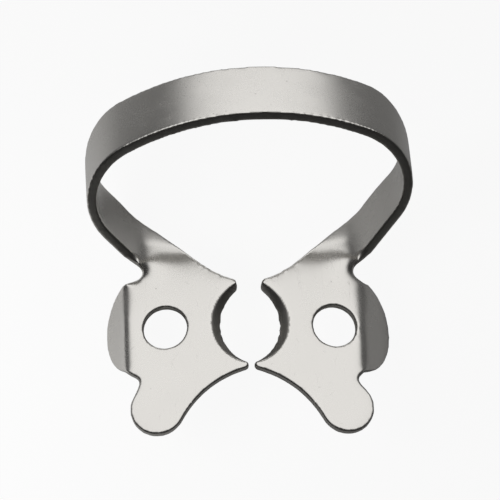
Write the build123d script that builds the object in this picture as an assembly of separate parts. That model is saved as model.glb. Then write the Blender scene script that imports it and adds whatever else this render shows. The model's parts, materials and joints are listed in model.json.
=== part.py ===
from build123d import *
from math import asin, atan2, cos, degrees, hypot, radians, sin, sqrt, tan
import os

# Rubber dam clamp: one spring steel sheet, stamped flat and folded. Millimetres and degrees.

# Sheet
sheet = 0.75

# Bow: a band bent round a crown and two corners, leaning back from the jaws
band_width = 5.6
bow_lean = 31.0  # from square to the jaws
bow_skew = 4.4  # turned in its own plane, right side up
crown_height = 15.7  # along the bow, above the line of the forceps holes
crown_shift = -0.54
crown_radius = 18.15
corner_radius = 5.35
corner_offset = 0.11  # centre of the corner, outward of the forceps hole
leg_tuck = 36.0  # legs turn in this far past square
bow_setback = 3.79  # front rim behind the forceps holes, square to the bow

# Heels: where the legs turn under and become the jaws
heel_radius = 2.0
foot_slope = 3.0
foot_start = 5.95  # fold between foot and jaw, behind the forceps hole
foot_fold_radius = 1.5

# Jaws
jaw_tilt = 8.0  # prongs stand higher than wings
hole_spacing = 12.0
hole_diameter = 3.06
root_line = 4.2  # narrowest line of the jaw, behind the forceps hole
root_out = 1.59  # jaw's outer side at that line
root_notch_radius = 0.3
bite_radius = 3.15  # edge that grips the tooth
bite_centre = 6.43  # inward of the forceps hole
bite_back = 0.12
bite_slant = 0.70  # lower rim reaches further in by this
rear_prong_in = 5.04
front_prong_in = 5.85
front_prong = 3.42
prong_width = 0.2
prong_blunt = 0.15
lobe_radius = 1.95  # rounded front corner of the jaw
lobe_out = 0.70
lobe_forward = 6.04
lobe_from = 35.0
lobe_turn = 187.0
lobe_notch_out = 1.9
lobe_notch_forward = 3.95
lobe_notch_radius = 0.35
lobe_notch_end = 215.0

# Rear edge, from the prong over the foot and up the leg: from the forceps hole, in the half-way view
rear_prong = (-4.87, 3.15)
rear_middle = (-1.9, 5.25)
rear_knee = (0.7, 8.15)
rear_waist = (2.5, 9.55)
rear_corner = (4.15, 10.1)
rear_rise = 2.5  # reaches this far up into the bow's corner
rear_run_out = 3.0  # straight on past both ends

# Wings: folded down, with level tips
wing_fold_left = 2.75  # outward of the forceps hole
wing_fold_right = 1.92
wing_fold_radius = 0.9  # outer face
wing_reach = 4.45  # tip, outward of the forceps hole
wing_drop = 2.25  # tip, below the jaw's face
wing_root = 1.9  # where the wing's oval starts, outward of the forceps hole
wing_middle = 0.22  # behind the forceps hole
wing_half = 3.5  # half the wing's length along the jaw
notch_flare = 30.0  # notches open out to the wing at this slope

# Room round the piece for cutting shapes
room = 40.0


def turn(angle):
    return Vector(cos(radians(angle)), sin(radians(angle)))


def closed(*edges):
    return make_face(list(edges))


# Bow plane: x across, y up the bow, z out of the front rim
lean = radians(bow_lean)
bow_out = Vector(0, -cos(lean), sin(lean))
bow_up = Vector(0, sin(lean), cos(lean))
bow_plane = Plane(origin=bow_out * -bow_setback, x_dir=(1, 0, 0), z_dir=bow_out)

# Half-way view: square to the line midway between bow and jaws
half_lean = lean / 2
half_plane = Plane(origin=(0, 0, 0), x_dir=(1, 0, 0), z_dir=(0, sin(half_lean), cos(half_lean)))

# Jaw plane: x outward, z up off the jaw's face
tilt = radians(jaw_tilt)
hole_at = Vector(hole_spacing / 2, 0, 0)
jaw_up = Vector(sin(tilt), 0, cos(tilt))
jaw_plane = Plane(origin=hole_at, x_dir=(cos(tilt), 0, -sin(tilt)), z_dir=jaw_up)

# Foot: carries on from the heel across the bow plane
slope = radians(foot_slope)
foot_up = Vector(-sin(slope), 0, 0) + bow_up * cos(slope)
fold_out = jaw_up.cross(foot_up).normalized()
fold_front = jaw_up.cross(fold_out).normalized()
fold_at = hole_at + Vector(0, foot_start, 0)
fold_plane = Plane(origin=fold_at, x_dir=fold_front, z_dir=fold_front.cross(jaw_up))
fold_angle = foot_up.get_angle(jaw_up)


def jaw_outline(plate_end, wing_corner):
    # Outline of a jaw seen square on, wing side open, rear side left long
    far = room / 4
    notch_at = min(root_out, plate_end) + root_notch_radius
    notch = CenterArc((notch_at, root_line), root_notch_radius, 180, 90 - notch_flare)
    lobe_notch = CenterArc(
        (min(lobe_notch_out, plate_end) + lobe_notch_radius, -lobe_notch_forward),
        lobe_notch_radius,
        90 + notch_flare,
        lobe_notch_end - 90 - notch_flare,
    )
    wing_rear = wing_middle + wing_corner.Y
    wing_front = wing_middle - wing_corner.Y
    wing_side = Polyline(
        notch @ 1,
        (wing_corner.X, wing_rear),
        (far, wing_rear),
        (far, wing_front),
        (wing_corner.X, wing_front),
        lobe_notch @ 0,
    )
    lobe = CenterArc((lobe_out, -lobe_forward), lobe_radius, lobe_from, -lobe_turn)
    flank = TangentArc(lobe @ 1, (prong_width - front_prong_in, -front_prong), tangent=lobe % 1)
    tooth_side = Polyline(
        flank @ 1,
        (-front_prong_in, prong_blunt - front_prong),
        (-rear_prong_in, root_line),
        notch @ 0,
    )
    lobe_side = Line(lobe_notch @ 1, lobe @ 0)
    return closed(notch, *wing_side.edges(), lobe_notch, lobe_side, lobe, flank, *tooth_side.edges())


def rear_side():
    # Everything in front of the rear edge
    points = rear_prong, rear_middle, rear_knee, rear_waist, rear_corner
    edge = Spline(*(hole_at + point for point in points))
    inner_end = (edge @ 0) - (edge % 0) * rear_run_out
    outer_end = (edge @ 1) + (edge % 1) * rear_run_out
    rest = Polyline(
        edge @ 1,
        outer_end,
        (outer_end.X, room),
        (room, room),
        (room, -room),
        (inner_end.X, -room),
        inner_end,
        edge @ 0,
    )
    return half_plane * extrude(closed(edge, *rest.edges()), room / 2, both=True)


def half_clamp(skew, shift, wing_fold):
    # One side of the clamp, outward along X, from the crown to the wing
    # Bow, walked along its outer face
    crown_half_angle = degrees(asin((hole_spacing / 2 + corner_offset) / (crown_radius - corner_radius)))
    into_crown = turn(skew - 90)
    crown_centre = Vector(shift, crown_height) + into_crown * crown_radius
    corner_at = skew - crown_half_angle
    corner_centre = crown_centre + turn(corner_at + 90) * (crown_radius - corner_radius)
    leg_at = skew - 90 - leg_tuck
    corner_turn = corner_at - leg_at

    def bow_face(inset):
        crown = CenterArc(crown_centre, crown_radius - inset, skew + 90, -crown_half_angle)
        corner = CenterArc(corner_centre, corner_radius - inset, corner_at + 90, -corner_turn)
        return crown, corner

    crown_out, corner_out = bow_face(0)
    crown_in, corner_in = bow_face(sheet)
    ends = Line(crown_out @ 0, crown_in @ 0), Line(corner_out @ 1, corner_in @ 1)
    strip = closed(crown_out, corner_out, crown_in, corner_in, *ends)
    bow = extrude(bow_plane * strip, -band_width)

    # Wing fold, and the notches that run in to it
    wing_angle = degrees(atan2(wing_drop, wing_reach - wing_fold))
    wing_setback = wing_fold_radius * tan(radians(wing_angle / 2))
    plate_end = wing_fold - wing_setback
    notch_at = min(root_out, plate_end) + root_notch_radius
    root_at = notch_at - root_notch_radius / 2

    # Leg, heel, foot and jaw root: the gap between two rounded blocks a sheet apart
    leg_start = bow_plane.from_local_coords(corner_in @ 1)
    leg_dir = Vector(turn(leg_at).X, 0, 0) + bow_up * turn(leg_at).Y
    leg_in = Vector(turn(leg_at - 90).X, 0, 0) + bow_up * turn(leg_at - 90).Y
    far = room / 4

    def block(drop, extra):
        reach = far + extra
        setback = foot_fold_radius * tan(radians(fold_angle / 2))
        fold = CenterArc((setback, -foot_fold_radius), foot_fold_radius - drop, 90, fold_angle)
        foot_end = (fold @ 1) + turn(180 + fold_angle) * reach
        rest = Polyline(
            fold @ 1, foot_end, (foot_end.X, reach), (reach, reach), (reach, -drop), fold @ 0
        )
        roof = extrude(fold_plane * closed(fold, *rest.edges()), reach, both=True)
        leg_plane = Plane(origin=leg_start - leg_in * drop, z_dir=leg_in)
        solid = roof & leg_plane * Box(room, room, room, align=(Align.CENTER, Align.CENTER, Align.MIN))
        rim = reach - sheet / 8
        valley = []
        for edge in solid.edges():
            middle = edge @ 0.5
            spot = fold_plane.to_local_coords(middle)
            on_leg = abs((middle - leg_plane.origin).dot(leg_in)) < 1e-4
            inside = foot_end.X + reach - rim < spot.X < rim and spot.Y < rim and abs(spot.Z) < rim
            if on_leg and inside:
                valley.append(edge)
        return fillet(valley, heel_radius + drop)

    shell = block(sheet, 0) - block(0, 1)
    below_z = (Align.CENTER, Align.CENTER, Align.MAX)
    above_z = (Align.CENTER, Align.CENTER, Align.MIN)
    slab = bow_plane * Box(room, room, band_width, align=below_z)
    behind = bow_plane * Pos(0, 0, -band_width) * Box(room, room, room, align=below_z)
    outer = jaw_plane * Pos(root_at, 0, 0)
    outer *= Box(room, room, room, align=(Align.MIN, Align.CENTER, Align.CENTER))
    inner = jaw_plane * Pos(root_at, root_line, 0)
    inner *= Box(room, room, room, align=(Align.MAX, Align.MIN, Align.CENTER))
    below = Plane(origin=leg_start, z_dir=leg_dir) * Box(room, room, room, align=above_z)
    cut = rear_side()
    heel = shell & below & cut
    corner_end = Plane(origin=leg_start - leg_dir * rear_rise, z_dir=leg_dir)
    bow -= corner_end * Box(room / 3, room / 3, far, align=above_z) - cut
    heel = (heel & slab & outer) + ((heel & inner) - behind)
    heel -= jaw_plane * Pos(notch_at, root_line, 0) * Cylinder(root_notch_radius, far)

    # Jaw with its wing folded down
    plate = jaw_plane * Pos(plate_end, root_line, 0)
    plate *= Box(far, room / 3, sheet, align=(Align.MAX, Align.MAX, Align.MAX))
    bend_centre = (plate_end, -wing_fold_radius)
    bend_out = CenterArc(bend_centre, wing_fold_radius, 90, -wing_angle)
    bend_in = CenterArc(bend_centre, wing_fold_radius - sheet, 90, -wing_angle)
    sector = closed(bend_out, bend_in, Line(bend_out @ 0, bend_in @ 0), Line(bend_out @ 1, bend_in @ 1))
    jaw_root = jaw_plane.from_local_coords((0, root_line, 0))
    jaw_side = Plane(origin=jaw_root, x_dir=jaw_plane.x_dir, z_dir=-jaw_plane.y_dir)
    bend = extrude(jaw_side * sector, root_line + lobe_notch_forward)
    lobe_plate = jaw_plane * Pos(plate_end, -lobe_notch_forward, 0)
    lobe_plate *= Box(far, far, sheet, align=(Align.MIN, Align.MAX, Align.MAX))
    flap_length = hypot(wing_reach - wing_fold, wing_drop) - wing_setback
    flap_from = plate_end + wing_fold_radius * radians(wing_angle) - wing_root
    oval = Pos(-flap_from, wing_middle) * Ellipse(flap_from + flap_length, wing_half)
    flap_face = oval & Rectangle(far, far, align=(Align.MIN, Align.CENTER))
    corner_share = sqrt(1 - (flap_from / (flap_from + flap_length)) ** 2)
    wing_corner = Vector((bend_out @ 1).X, wing_half * corner_share)
    flap_at = Pos((bend_out @ 1).X, 0, (bend_out @ 1).Y) * Rot(0, wing_angle, 0)
    flap = jaw_plane * flap_at * extrude(flap_face, -sheet)
    outline = jaw_plane * extrude(jaw_outline(plate_end, wing_corner), far / 2, both=True)
    bite_rim = Pos(-bite_centre, bite_back) * Circle(bite_radius)
    bite = jaw_plane * extrude(bite_rim, far / 2, both=True, dir=(bite_slant, 0, sheet))
    hole = jaw_plane * Cylinder(hole_diameter / 2, far)
    jaw = ((plate + lobe_plate + bend + flap) & outline & cut) - bite - hole
    return bow + heel + jaw


right_half = half_clamp(bow_skew, crown_shift, wing_fold_right)
left_half = mirror(half_clamp(-bow_skew, -crown_shift, wing_fold_left), Plane.YZ)
clamp = right_half + left_half

# Set down on a table: heels and wing tips level
heels = clamp & Pos(0, root_line, 0) * Box(room, room, room, align=(Align.CENTER, Align.MIN, Align.CENTER))
wings = clamp - heels


def rock(angle):
    # Height of the heels over the wing tips when the clamp is turned about X
    turned = Rot(angle, 0, 0)
    return (turned * heels).bounding_box().min.Z - (turned * wings).bounding_box().min.Z


before = 0.0
angle = -bow_lean / 10
while abs(angle - before) > 1e-6:
    change = (rock(angle) - rock(before)) / (angle - before)
    before, angle = angle, angle - rock(angle) / change
clamp = Rot(angle, 0, 0) * clamp
box = clamp.bounding_box()
clamp = Pos(-box.center().X, -box.center().Y, -box.min.Z) * clamp

os.makedirs("parts", exist_ok=True)
export_step(clamp, "parts/clamp.step")
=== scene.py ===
import bpy
import bmesh
import json
import math
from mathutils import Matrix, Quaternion, Vector
from mathutils.bvhtree import BVHTree
from mathutils.kdtree import KDTree


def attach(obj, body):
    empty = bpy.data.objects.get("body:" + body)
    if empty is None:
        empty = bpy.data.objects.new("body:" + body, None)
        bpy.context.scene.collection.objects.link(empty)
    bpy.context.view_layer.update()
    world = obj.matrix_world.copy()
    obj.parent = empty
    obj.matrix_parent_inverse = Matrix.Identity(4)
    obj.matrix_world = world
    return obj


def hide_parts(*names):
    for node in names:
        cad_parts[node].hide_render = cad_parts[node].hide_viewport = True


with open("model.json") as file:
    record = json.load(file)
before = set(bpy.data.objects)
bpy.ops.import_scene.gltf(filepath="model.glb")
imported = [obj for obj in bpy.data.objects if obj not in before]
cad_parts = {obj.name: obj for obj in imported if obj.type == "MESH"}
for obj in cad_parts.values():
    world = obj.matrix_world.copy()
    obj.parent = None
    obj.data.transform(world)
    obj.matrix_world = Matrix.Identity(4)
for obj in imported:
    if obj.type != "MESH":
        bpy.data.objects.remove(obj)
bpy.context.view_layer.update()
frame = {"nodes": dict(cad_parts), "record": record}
mm = 0.001
print("frame loaded:", sorted(frame["nodes"]))


# Clamp: the folded sheet with its tumbled edges

clampLook = {
    "mergeAt": 0.01 * mm,  # joins the loose triangles
    "sharpOver": 32.0,  # degrees, edges left by the stamping
    "rimWidth": 1.15 * mm,  # a surface narrower than this is the stamped edge of the sheet
    "grid": 0.09 * mm,
    "keepShare": 0.5,  # of the triangles
    "shineWidth": 0.28 * mm,  # edges polished by the tumbling
    # rounds of smoothing: tumbling rounds all edges, those of jaws and heels more, of the lobes most
    "edgeSteps": 9,
    "jawSteps": 9,
    "jawTop": 4.2 * mm,  # above the table
    "bowFoot": 7.0 * mm,
    "lobeSteps": 10,
    "lobeFrom": -6.2 * mm,  # along Y
    "lobeTo": -8.6 * mm,
    # away from the edges the folds are evened out
    "foldSteps": 90,
    "foldFrom": 0.15 * mm,  # distance from an edge
    "foldTo": 0.45 * mm,
    # the low step where the bend of a heel ends in the flat jaw
    "rootPlace": 4.2 * mm,  # behind the holes
    "rootReach": 0.02 * mm,
    "rootFacing": 0.9,
    "rootZone": 3.6 * mm,
    "rootSteps": 500,
    "knotZone": 1.3 * mm,  # where that step meets the notch
    "knotSteps": 160,
    # the bow's corners, in mm and degrees: their band narrows evenly towards the legs
    "bowLean": 38.043,  # at rest, front rim up
    "bowSkew": 4.4,
    "legLean": 36.0,
    "bandWidth": 5.6,
    "bandInner": 4.6,  # radius inside the corners
    "bandRange": (4.4, 5.6),  # radii that hold the band
    "trimFoot": 2.3,  # height over the leg's end
    "trimFrom": 30.0,  # turn round the corner
    "trimTo": 95.0,
    "trimSlant": 0.31,  # the rear edge is cut on a slant across the sheet
    "trimReach": 0.1,  # in front of the trimmed rim, still taken as rim
    "corners": (  # side, axis, and the width that the leg's rear edge leaves
        {"side": 1, "axis": (6.092, 4.1726, 8.3488), "width": 4.16},
        {"side": -1, "axis": (-6.092, 3.5949, 7.6105), "width": 4.61},
    ),
}


def share(value, low, high):
    return min(1.0, max(0.0, (value - low) / (high - low)))


def smoothPatches(bm, sharpOver):
    # groups of faces that run into each other without a sharp edge
    patchOf = {}
    patches = []
    for start in bm.faces:
        if start in patchOf:
            continue
        patch = [start]
        patchOf[start] = len(patches)
        for face in patch:
            for edge in face.edges:
                if not edge.is_manifold or edge.calc_face_angle(math.pi) > sharpOver:
                    continue
                for near in edge.link_faces:
                    if near not in patchOf:
                        patchOf[near] = len(patches)
                        patch.append(near)
        patches.append(patch)
    return patches


def patchWidth(patch):
    inside = set(patch)
    area = sum(face.calc_area() for face in patch)
    edges = [edge for face in patch for edge in face.edges]
    rim = sum(e.calc_length() for e in edges if sum(face in inside for face in e.link_faces) == 1)
    return 2 * area / max(rim, 1e-9)


def findRootSteps(bm, look):
    holes = {mount["name"]: mount for mount in frame["record"]["mounts"]}
    left, right = holes["forceps_hole_left"], holes["forceps_hole_right"]
    along = Vector(left["axis"]).cross(Vector(right["axis"])).normalized()
    rootAt = Vector(right["pos_m"]).dot(along) + look["rootPlace"]
    return [
        face for face in bm.faces
        if abs(face.normal.dot(along)) > look["rootFacing"]
        and abs(face.calc_center_median().dot(along) - rootAt) < look["rootReach"]
    ]


def findCorners(look):
    # directions of each corner: to the back rim, down the leg, and out of the loop
    lean = math.radians(look["bowLean"])
    bowUp = Vector((0, math.sin(lean), math.cos(lean)))
    bowBack = Vector((0, math.cos(lean), -math.sin(lean)))
    corners = []
    for corner in look["corners"]:
        side = Vector((corner["side"], 0, 0))
        legTurn = math.radians(corner["side"] * look["bowSkew"] - 90 - look["legLean"])
        corners.append({
            "axis": Vector(corner["axis"]),
            "back": bowBack,
            "leg": side * math.cos(legTurn) + bowUp * math.sin(legTurn),
            "out": bowUp * math.cos(legTurn) - side * math.sin(legTurn),
            "width": corner["width"],
        })
    return corners


def cornerTrim(point, corners, look):
    # how far a point lies behind the evened back rim of a corner, and how much is trimmed there
    for corner in corners:
        offset = point / mm - corner["axis"]
        depth = offset.dot(corner["back"])
        flat = offset - corner["back"] * depth
        rise = -flat.dot(corner["leg"])
        angle = math.degrees(math.atan2(rise, flat.dot(corner["out"])))
        inBand = look["bandRange"][0] < flat.length < look["bandRange"][1]
        if not inBand or rise < look["trimFoot"] or angle > look["trimTo"]:
            continue
        part = share(angle, look["trimFrom"], look["trimTo"])
        width = corner["width"] + look["trimSlant"] * (flat.length - look["bandInner"])
        trim = (look["bandWidth"] - width) * (1 - part * part * (3 - 2 * part))
        behind = depth - look["bandWidth"] + trim
        return corner["back"] * mm, behind, trim
    return Vector(), -1.0, 0.0


def trimmed(point, corners, look):
    back, behind, trim = cornerTrim(point, corners, look)
    return point - back * max(0.0, behind)


def pointTree(points):
    tree = KDTree(len(points))
    for i, point in enumerate(points):
        tree.insert(point, i)
    tree.balance()
    return tree


def pointsAlong(edges, step):
    points = []
    for edge in edges:
        start, end = (v.co for v in edge.verts)
        count = max(1, int(edge.calc_length() / step))
        points += [start.lerp(end, i / count) for i in range(count + 1)]
    return points


def remeshed(bm, grid):
    mesh = bpy.data.meshes.new("stampedSheet")
    bm.to_mesh(mesh)
    piece = bpy.data.objects.new("stampedSheet", mesh)
    bpy.context.scene.collection.objects.link(piece)
    even = piece.modifiers.new("evenGrid", "REMESH")
    even.mode = "VOXEL"
    even.voxel_size = grid
    evaluated = piece.evaluated_get(bpy.context.evaluated_depsgraph_get())
    result = bmesh.new()
    result.from_mesh(bpy.data.meshes.new_from_object(evaluated))
    bpy.data.objects.remove(piece)
    return result


def buildClamp(look):
    node = frame["nodes"]["clamp"]
    sharpOver = math.radians(look["sharpOver"])
    corners = findCorners(look)
    stamped = bmesh.new()
    stamped.from_mesh(node.data)
    bmesh.ops.remove_doubles(stamped, verts=stamped.verts, dist=look["mergeAt"])
    stamped.faces.ensure_lookup_table()
    # which faces are the stamped rim, and where the edges and the root steps run
    onRim = {}
    for patch in smoothPatches(stamped, sharpOver):
        isRim = 1.0 if patchWidth(patch) < look["rimWidth"] else 0.0
        for face in patch:
            onRim[face.index] = isRim
    steps = findRootSteps(stamped, look)
    stepEdges = {edge for face in steps for edge in face.edges}
    for face in steps:
        onRim[face.index] = 0.0
    sharp = [e for e in stamped.edges if e.calc_face_angle(0) > sharpOver and e not in stepEdges]
    edgePoints = [trimmed(point, corners, look) for point in pointsAlong(sharp, look["grid"])]
    nearFace = BVHTree.FromBMesh(stamped)
    nearEdge = pointTree(edgePoints)
    nearRoot = pointTree(pointsAlong(stepEdges, look["grid"]))
    # an even grid, trimmed at the corners and made even again
    whole = remeshed(stamped, look["grid"])
    for vert in whole.verts:
        vert.co = trimmed(vert.co, corners, look)
    bm = remeshed(whole, look["grid"])
    rimLayer = bm.verts.layers.float.new("stampedRim")
    shineLayer = bm.verts.layers.float.new("tumbledEdge")
    zones = bm.verts.layers.deform.verify()
    for vert in bm.verts:
        back, behind, trim = cornerTrim(vert.co, corners, look)
        onSheet = vert.co.copy()
        if behind > -look["trimReach"]:
            onSheet += back * trim
        vert[rimLayer] = onRim[nearFace.find_nearest(onSheet)[2]]
        toEdge = nearEdge.find(vert.co)[2]
        toRoot = nearRoot.find(vert.co)[2]
        vert[shineLayer] = 1 - share(toEdge, 0, look["shineWidth"])
        inner = share(toEdge, look["foldFrom"], look["foldTo"])
        weights = (
            1.0,
            share(vert.co.z, look["bowFoot"], look["jawTop"]),
            share(vert.co.y, look["lobeFrom"], look["lobeTo"]),
            inner,
            inner * (1 - share(toRoot, 0, look["rootZone"])),
            1 - share(toRoot, 0, look["knotZone"]),
        )
        for i, weight in enumerate(weights):
            if weight > 0:
                vert[zones][i] = weight
    for face in bm.faces:
        face.smooth = True
    mesh = bpy.data.meshes.new("clampSheet")
    bm.to_mesh(mesh)
    print("clamp sheet:", len(mesh.polygons), "faces,", len(steps), "faces of root steps evened out")
    for used in (bm, whole, stamped):
        used.free()
    sheet = bpy.data.objects.new("clampSheet", mesh)
    bpy.context.scene.collection.objects.link(sheet)
    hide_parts("clamp")
    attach(sheet, "root")
    for name in ("edge", "jaw", "lobe", "fold", "root", "knot"):  # in the order of the weights
        sheet.vertex_groups.new(name=name)
        even = sheet.modifiers.new(name, "SMOOTH")
        even.vertex_group = name
        even.factor = 1.0
        even.iterations = look[name + "Steps"]
    thin = sheet.modifiers.new("fewerFaces", "DECIMATE")
    thin.ratio = look["keepShare"]
    return sheet


clampSheet = buildClamp(clampLook)


# Steel finish: fine grain, smudges, scratches and specks on Object coordinates

steelLook = {
    "faceColor": (0.79, 0.77, 0.735, 1),
    # the rims' darker colour is partly painted shade for the dark reflections on the stamped edges,
    # partly their duller finish
    "rimDullAndShadeColor": (0.34, 0.33, 0.31, 1),
    "faceRough": 0.25,
    "rimRough": 0.38,
    "edgeShine": 0.06,  # taken off the roughness along tumbled edges
    "grainSize": 0.12 * mm,
    "grainDetail": 3.0,
    "grainRough": (-0.02, 0.02),  # added to the roughness, least and most
    "grainOnFaces": 0.25,  # of its depth on the rims
    "smudgeSize": 2.6 * mm,
    "smudgeDetail": 4.0,
    "smudgeRough": (-0.03, 0.05),
    "smudgeTone": 0.95,
    "noiseFrom": 0.25,
    "noiseTo": 0.75,
    "scratchLength": 3.0 * mm,
    "scratchGap": 0.55 * mm,
    "scratchWidth": 0.014,  # of the gap
    "scratchTurns": ((0.2, 0.1, 0.5), (0.1, 0.3, 1.7), (0.4, 0.2, 2.6)),  # one direction each
    "scratchPatch": 1.3,  # scratches come in patches of about one gap
    "scratchFrom": 0.58,
    "scratchTo": 0.72,
    "scratchRough": (0.0, 0.12),
    "scratchTone": 0.1,
    "speckGap": 1.5 * mm,
    "speckCore": 0.03,  # of the gap
    "speckRim": 0.06,
    "markDepth": 0.0008 * mm,
}


def put(nodes, kind, x, y, **values):
    node = nodes.new(kind)
    node.location = (x, y)
    for name, value in values.items():
        setattr(node, name, value)
    return node


def join(nodes, links, operation, a, b, x, y):
    sums = put(nodes, "ShaderNodeMath", x, y, operation=operation)
    for socket, value in zip(sums.inputs, (a, b)):
        if isinstance(value, (int, float)):
            socket.default_value = value
        else:
            links.new(value, socket)
    return sums.outputs[0]


def stretch(nodes, links, source, low, high, x, y, to=(0.0, 1.0), kind="LINEAR"):
    span = put(nodes, "ShaderNodeMapRange", x, y, interpolation_type=kind)
    span.inputs["From Min"].default_value = low
    span.inputs["From Max"].default_value = high
    span.inputs["To Min"].default_value = to[0]
    span.inputs["To Max"].default_value = to[1]
    links.new(source, span.inputs["Value"])
    return span.outputs["Result"]


def buildMarks(look):
    group = bpy.data.node_groups.new("tumbleMarks", "ShaderNodeTree")
    group.interface.new_socket("Place", in_out="INPUT", socket_type="NodeSocketVector")
    for name in ("Grain", "Smudge", "Scratch"):
        group.interface.new_socket(name, in_out="OUTPUT", socket_type="NodeSocketFloat")
    nodes, links = group.nodes, group.links
    place = put(nodes, "NodeGroupInput", -1400, 0).outputs["Place"]
    result = put(nodes, "NodeGroupOutput", 600, 0)
    for name, y in (("Grain", 300), ("Smudge", 0)):
        noise = put(nodes, "ShaderNodeTexNoise", -800, y)
        noise.inputs["Scale"].default_value = 1 / look[name.lower() + "Size"]
        noise.inputs["Detail"].default_value = look[name.lower() + "Detail"]
        links.new(place, noise.inputs["Vector"])
        mask = stretch(nodes, links, noise.outputs["Fac"], look["noiseFrom"], look["noiseTo"], -500, y)
        links.new(mask, result.inputs[name])
    gap, length = look["scratchGap"], look["scratchLength"]
    scratch = 0.0
    for i, turn in enumerate(look["scratchTurns"]):
        y = -300 - 350 * i
        turned = put(nodes, "ShaderNodeMapping", -1100, y)
        turned.inputs["Rotation"].default_value = turn
        turned.inputs["Scale"].default_value = (1 / gap, 1 / length, 1 / gap)
        links.new(place, turned.inputs["Vector"])
        cells = put(nodes, "ShaderNodeTexVoronoi", -850, y, feature="DISTANCE_TO_EDGE")
        cells.inputs["Scale"].default_value = 1.0
        links.new(turned.outputs[0], cells.inputs["Vector"])
        toLine = cells.outputs["Distance"]
        line = stretch(nodes, links, toLine, 0.0, look["scratchWidth"], -600, y, to=(1.0, 0.0))
        patch = put(nodes, "ShaderNodeTexNoise", -850, y - 180)
        patch.inputs["Scale"].default_value = look["scratchPatch"]
        links.new(turned.outputs[0], patch.inputs["Vector"])
        inPatch = patch.outputs["Fac"]
        some = stretch(nodes, links, inPatch, look["scratchFrom"], look["scratchTo"], -600, y - 180)
        line = join(nodes, links, "MULTIPLY", line, some, -350, y)
        scratch = join(nodes, links, "MAXIMUM", line, scratch, -150, y)
    specks = put(nodes, "ShaderNodeTexVoronoi", -850, 600)
    specks.inputs["Scale"].default_value = 1 / look["speckGap"]
    links.new(place, specks.inputs["Vector"])
    toSpeck = specks.outputs["Distance"]
    speck = stretch(nodes, links, toSpeck, look["speckCore"], look["speckRim"], -600, 600, to=(1.0, 0.0))
    links.new(join(nodes, links, "MAXIMUM", scratch, speck, 100, -300), result.inputs["Scratch"])
    return group


def buildSteel(look, marksGroup):
    material = bpy.data.materials.new("tumbledSteel")
    material.use_nodes = True
    nodes, links = material.node_tree.nodes, material.node_tree.links
    shader = nodes["Principled BSDF"]
    shader.inputs["Metallic"].default_value = 1.0
    where = put(nodes, "ShaderNodeTexCoord", -1500, 0)
    marks = put(nodes, "ShaderNodeGroup", -1250, 0, node_tree=marksGroup)
    links.new(where.outputs["Object"], marks.inputs["Place"])
    grain, smudge, scratch = marks.outputs
    rim = put(nodes, "ShaderNodeAttribute", -1250, 300, attribute_name="stampedRim").outputs["Fac"]
    edge = put(nodes, "ShaderNodeAttribute", -1250, 500, attribute_name="tumbledEdge").outputs["Fac"]
    # colour: rims darker, partly their duller stamped finish and partly painted shade that stands in for
    # the dark reflections on the edges; smudges and marks a little so
    color = put(nodes, "ShaderNodeMix", -700, 300, data_type="RGBA")
    color.inputs["A"].default_value = look["faceColor"]
    color.inputs["B"].default_value = look["rimDullAndShadeColor"]
    links.new(rim, color.inputs["Factor"])
    tone = stretch(nodes, links, smudge, 0, 1, -900, 100, to=(look["smudgeTone"], 1.0))
    cut = join(nodes, links, "MULTIPLY", scratch, look["scratchTone"], -900, -50)
    tone = join(nodes, links, "SUBTRACT", tone, cut, -700, 100)
    shaded = put(nodes, "ShaderNodeMix", -450, 300, data_type="RGBA", blend_type="MULTIPLY")
    shaded.inputs["Factor"].default_value = 1.0
    links.new(color.outputs["Result"], shaded.inputs["A"])
    links.new(tone, shaded.inputs["B"])
    links.new(shaded.outputs["Result"], shader.inputs["Base Color"])
    # roughness: rims dull, tumbled edges bright, smudges and scratches dull
    rough = stretch(nodes, links, rim, 0, 1, -900, -250, to=(look["faceRough"], look["rimRough"]))
    shine = join(nodes, links, "MULTIPLY", edge, look["edgeShine"], -900, -400)
    rough = join(nodes, links, "SUBTRACT", rough, shine, -700, -250)
    for mask, name, y in ((smudge, "smudge", -550), (scratch, "scratch", -700), (grain, "grain", -850)):
        part = stretch(nodes, links, mask, 0, 1, -900, y, to=look[name + "Rough"])
        rough = join(nodes, links, "ADD", rough, part, -500, y)
    links.new(rough, shader.inputs["Roughness"])
    # bump: grain, deeper on the rims, and cut scratches
    depth = stretch(nodes, links, rim, 0, 1, -900, -1000, to=(look["grainOnFaces"], 1.0))
    height = join(nodes, links, "MULTIPLY", grain, depth, -700, -1000)
    height = join(nodes, links, "SUBTRACT", height, scratch, -500, -1000)
    bump = put(nodes, "ShaderNodeBump", -250, -1000)
    bump.inputs["Distance"].default_value = look["markDepth"]
    links.new(height, bump.inputs["Height"])
    links.new(bump.outputs["Normal"], shader.inputs["Normal"])
    return material


clampSheet.data.materials.append(buildSteel(steelLook, buildMarks(steelLook)))
print("steel finish made")


# Table, studio and camera

studioLook = {
    "tableRadius": 0.06,
    "tableSides": 96,
    "tableColor": (0.92, 0.92, 0.92, 1),
    "tableRough": 0.9,
    "tableWhite": 0.93,  # share of plain white that the camera sees
    "tableWhiteInMetal": 0.03,
    "domeLevel": 0.09,
    "white": (1, 1, 1, 1),
    "frontGap": 0.045,  # the dark gaps between the white screens, seen in the metal
    "backGap": 0.13,
    "gapFrom": -0.3,  # along Y
    "gapTo": 0.6,
    "topFrom": 0.62,  # the white screen overhead, leaning to the back
    "topTo": 1.0,
    "topLean": 0.6,
    "backFrom": 0.9,  # the one behind the bow
    "backTo": 0.97,
    "backTurn": 2.5,  # degrees to the right
    "lampPlace": (-0.037, -0.014, 0.03),
    "lampSize": 0.03,
    "lampPower": 0.0108,  # watts
}


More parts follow.
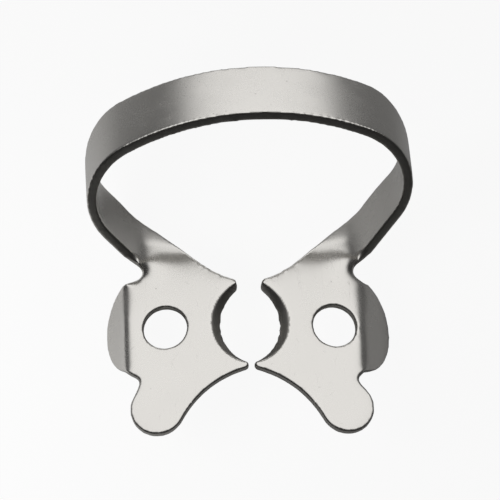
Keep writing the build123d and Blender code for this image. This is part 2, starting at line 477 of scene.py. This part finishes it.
def buildTable(look):
    bm = bmesh.new()
    bmesh.ops.create_circle(bm, cap_ends=True, segments=look["tableSides"], radius=look["tableRadius"])
    mesh = bpy.data.meshes.new("table")
    bm.to_mesh(mesh)
    bm.free()
    table = bpy.data.objects.new("table", mesh)
    bpy.context.scene.collection.objects.link(table)
    material = bpy.data.materials.new("paleTable")
    material.use_nodes = True
    nodes, links = material.node_tree.nodes, material.node_tree.links
    shader = nodes["Principled BSDF"]
    shader.inputs["Base Color"].default_value = look["tableColor"]
    shader.inputs["Roughness"].default_value = look["tableRough"]
    shader.inputs["Specular IOR Level"].default_value = 0.0
    rays = put(nodes, "ShaderNodeLightPath", -700, 300).outputs
    seen = join(nodes, links, "ADD", rays["Is Camera Ray"], rays["Is Transmission Ray"], -500, 300)
    seen = join(nodes, links, "MULTIPLY", seen, look["tableWhite"], -300, 300)
    inMetal = join(nodes, links, "MULTIPLY", rays["Is Glossy Ray"], look["tableWhiteInMetal"], -500, 100)
    white = put(nodes, "ShaderNodeEmission", 0, -300)
    mix = put(nodes, "ShaderNodeMixShader", 300, 0)
    links.new(join(nodes, links, "ADD", seen, inMetal, -100, 200), mix.inputs[0])
    links.new(shader.outputs[0], mix.inputs[1])
    links.new(white.outputs[0], mix.inputs[2])
    links.new(mix.outputs[0], nodes["Material Output"].inputs["Surface"])
    mesh.materials.append(material)


def buildWorld(look):
    world = bpy.data.worlds.new("studio")
    bpy.context.scene.world = world
    world.use_nodes = True
    nodes, links = world.node_tree.nodes, world.node_tree.links
    dome = nodes["Background"]
    dome.inputs["Color"].default_value = look["white"]
    dome.inputs["Strength"].default_value = look["domeLevel"]
    where = put(nodes, "ShaderNodeTexCoord", -1400, 0)
    axes = put(nodes, "ShaderNodeSeparateXYZ", -1200, 0)
    links.new(where.outputs["Generated"], axes.inputs[0])
    across, along, up = axes.outputs
    # the screens and the gaps between them
    turn = math.radians(look["backTurn"])
    toRight = join(nodes, links, "MULTIPLY", across, math.sin(turn), -1000, -450)
    turned = join(nodes, links, "MULTIPLY", along, math.cos(turn), -1000, -600)
    turned = join(nodes, links, "ADD", turned, toRight, -850, -450)
    lean = join(nodes, links, "MULTIPLY", along, look["topLean"], -1000, -150)
    lean = join(nodes, links, "ADD", up, lean, -850, -150)
    top = stretch(nodes, links, lean, look["topFrom"], look["topTo"], -650, -150, kind="SMOOTHSTEP")
    back = stretch(nodes, links, turned, look["backFrom"], look["backTo"], -650, -450, kind="SMOOTHSTEP")
    gaps = (look["frontGap"], look["backGap"])
    gap = stretch(nodes, links, along, look["gapFrom"], look["gapTo"], -650, -700, to=gaps)
    level = join(nodes, links, "MAXIMUM", top, back, -450, -300)
    level = join(nodes, links, "MAXIMUM", level, gap, -300, -300)
    # the camera sees plain white, the metal sees the screens
    rays = put(nodes, "ShaderNodeLightPath", -700, 400).outputs
    plain = join(nodes, links, "ADD", rays["Is Camera Ray"], rays["Is Transmission Ray"], -450, 400)
    level = join(nodes, links, "MAXIMUM", level, plain, -150, -300)
    backdrop = put(nodes, "ShaderNodeBackground", 0, -300)
    backdrop.inputs["Color"].default_value = look["white"]
    links.new(level, backdrop.inputs["Strength"])
    mix = put(nodes, "ShaderNodeMixShader", 200, 0)
    links.new(join(nodes, links, "ADD", plain, rays["Is Glossy Ray"], -250, 400), mix.inputs[0])
    links.new(dome.outputs[0], mix.inputs[1])
    links.new(backdrop.outputs[0], mix.inputs[2])
    links.new(mix.outputs[0], nodes["World Output"].inputs["Surface"])


def buildLamp(look):
    # a soft lamp to the left, for the table and the shadow on it
    data = bpy.data.lights.new("sideLamp", "AREA")
    data.shape = "DISK"
    data.size = look["lampSize"]
    data.energy = look["lampPower"]
    lamp = bpy.data.objects.new("sideLamp", data)
    bpy.context.scene.collection.objects.link(lamp)
    lamp.location = look["lampPlace"]
    lamp.rotation_euler = lamp.location.to_track_quat("Z", "Y").to_euler()
    lamp.visible_glossy = False


cameraLook = {
    "place": (-21.103, -106.289, 389.635),  # mm
    "aim": (0.069, 0.639, 4.737),
    "roll": 10.119,  # degrees
    "lens": 409.54,
    "sensor": 36,
    "near": 0.01,  # metres
    "far": 10,
}


def buildCamera(look):
    data = bpy.data.cameras.new("camera")
    camera = bpy.data.objects.new("camera", data)
    bpy.context.scene.collection.objects.link(camera)
    place = Vector(look["place"]) * mm
    back = place - Vector(look["aim"]) * mm
    roll = Quaternion((0, 0, 1), math.radians(look["roll"]))
    camera.location = place
    camera.rotation_mode = "QUATERNION"
    camera.rotation_quaternion = back.to_track_quat("Z", "Y") @ roll
    data.lens = look["lens"]
    data.sensor_width = look["sensor"]
    data.clip_start = look["near"]
    data.clip_end = look["far"]
    bpy.context.scene.camera = camera


buildTable(studioLook)
buildWorld(studioLook)
buildLamp(studioLook)
buildCamera(cameraLook)
bpy.context.scene.view_settings.view_transform = "Standard"
print("table, studio and camera placed")

bpy.context.view_layer.update()
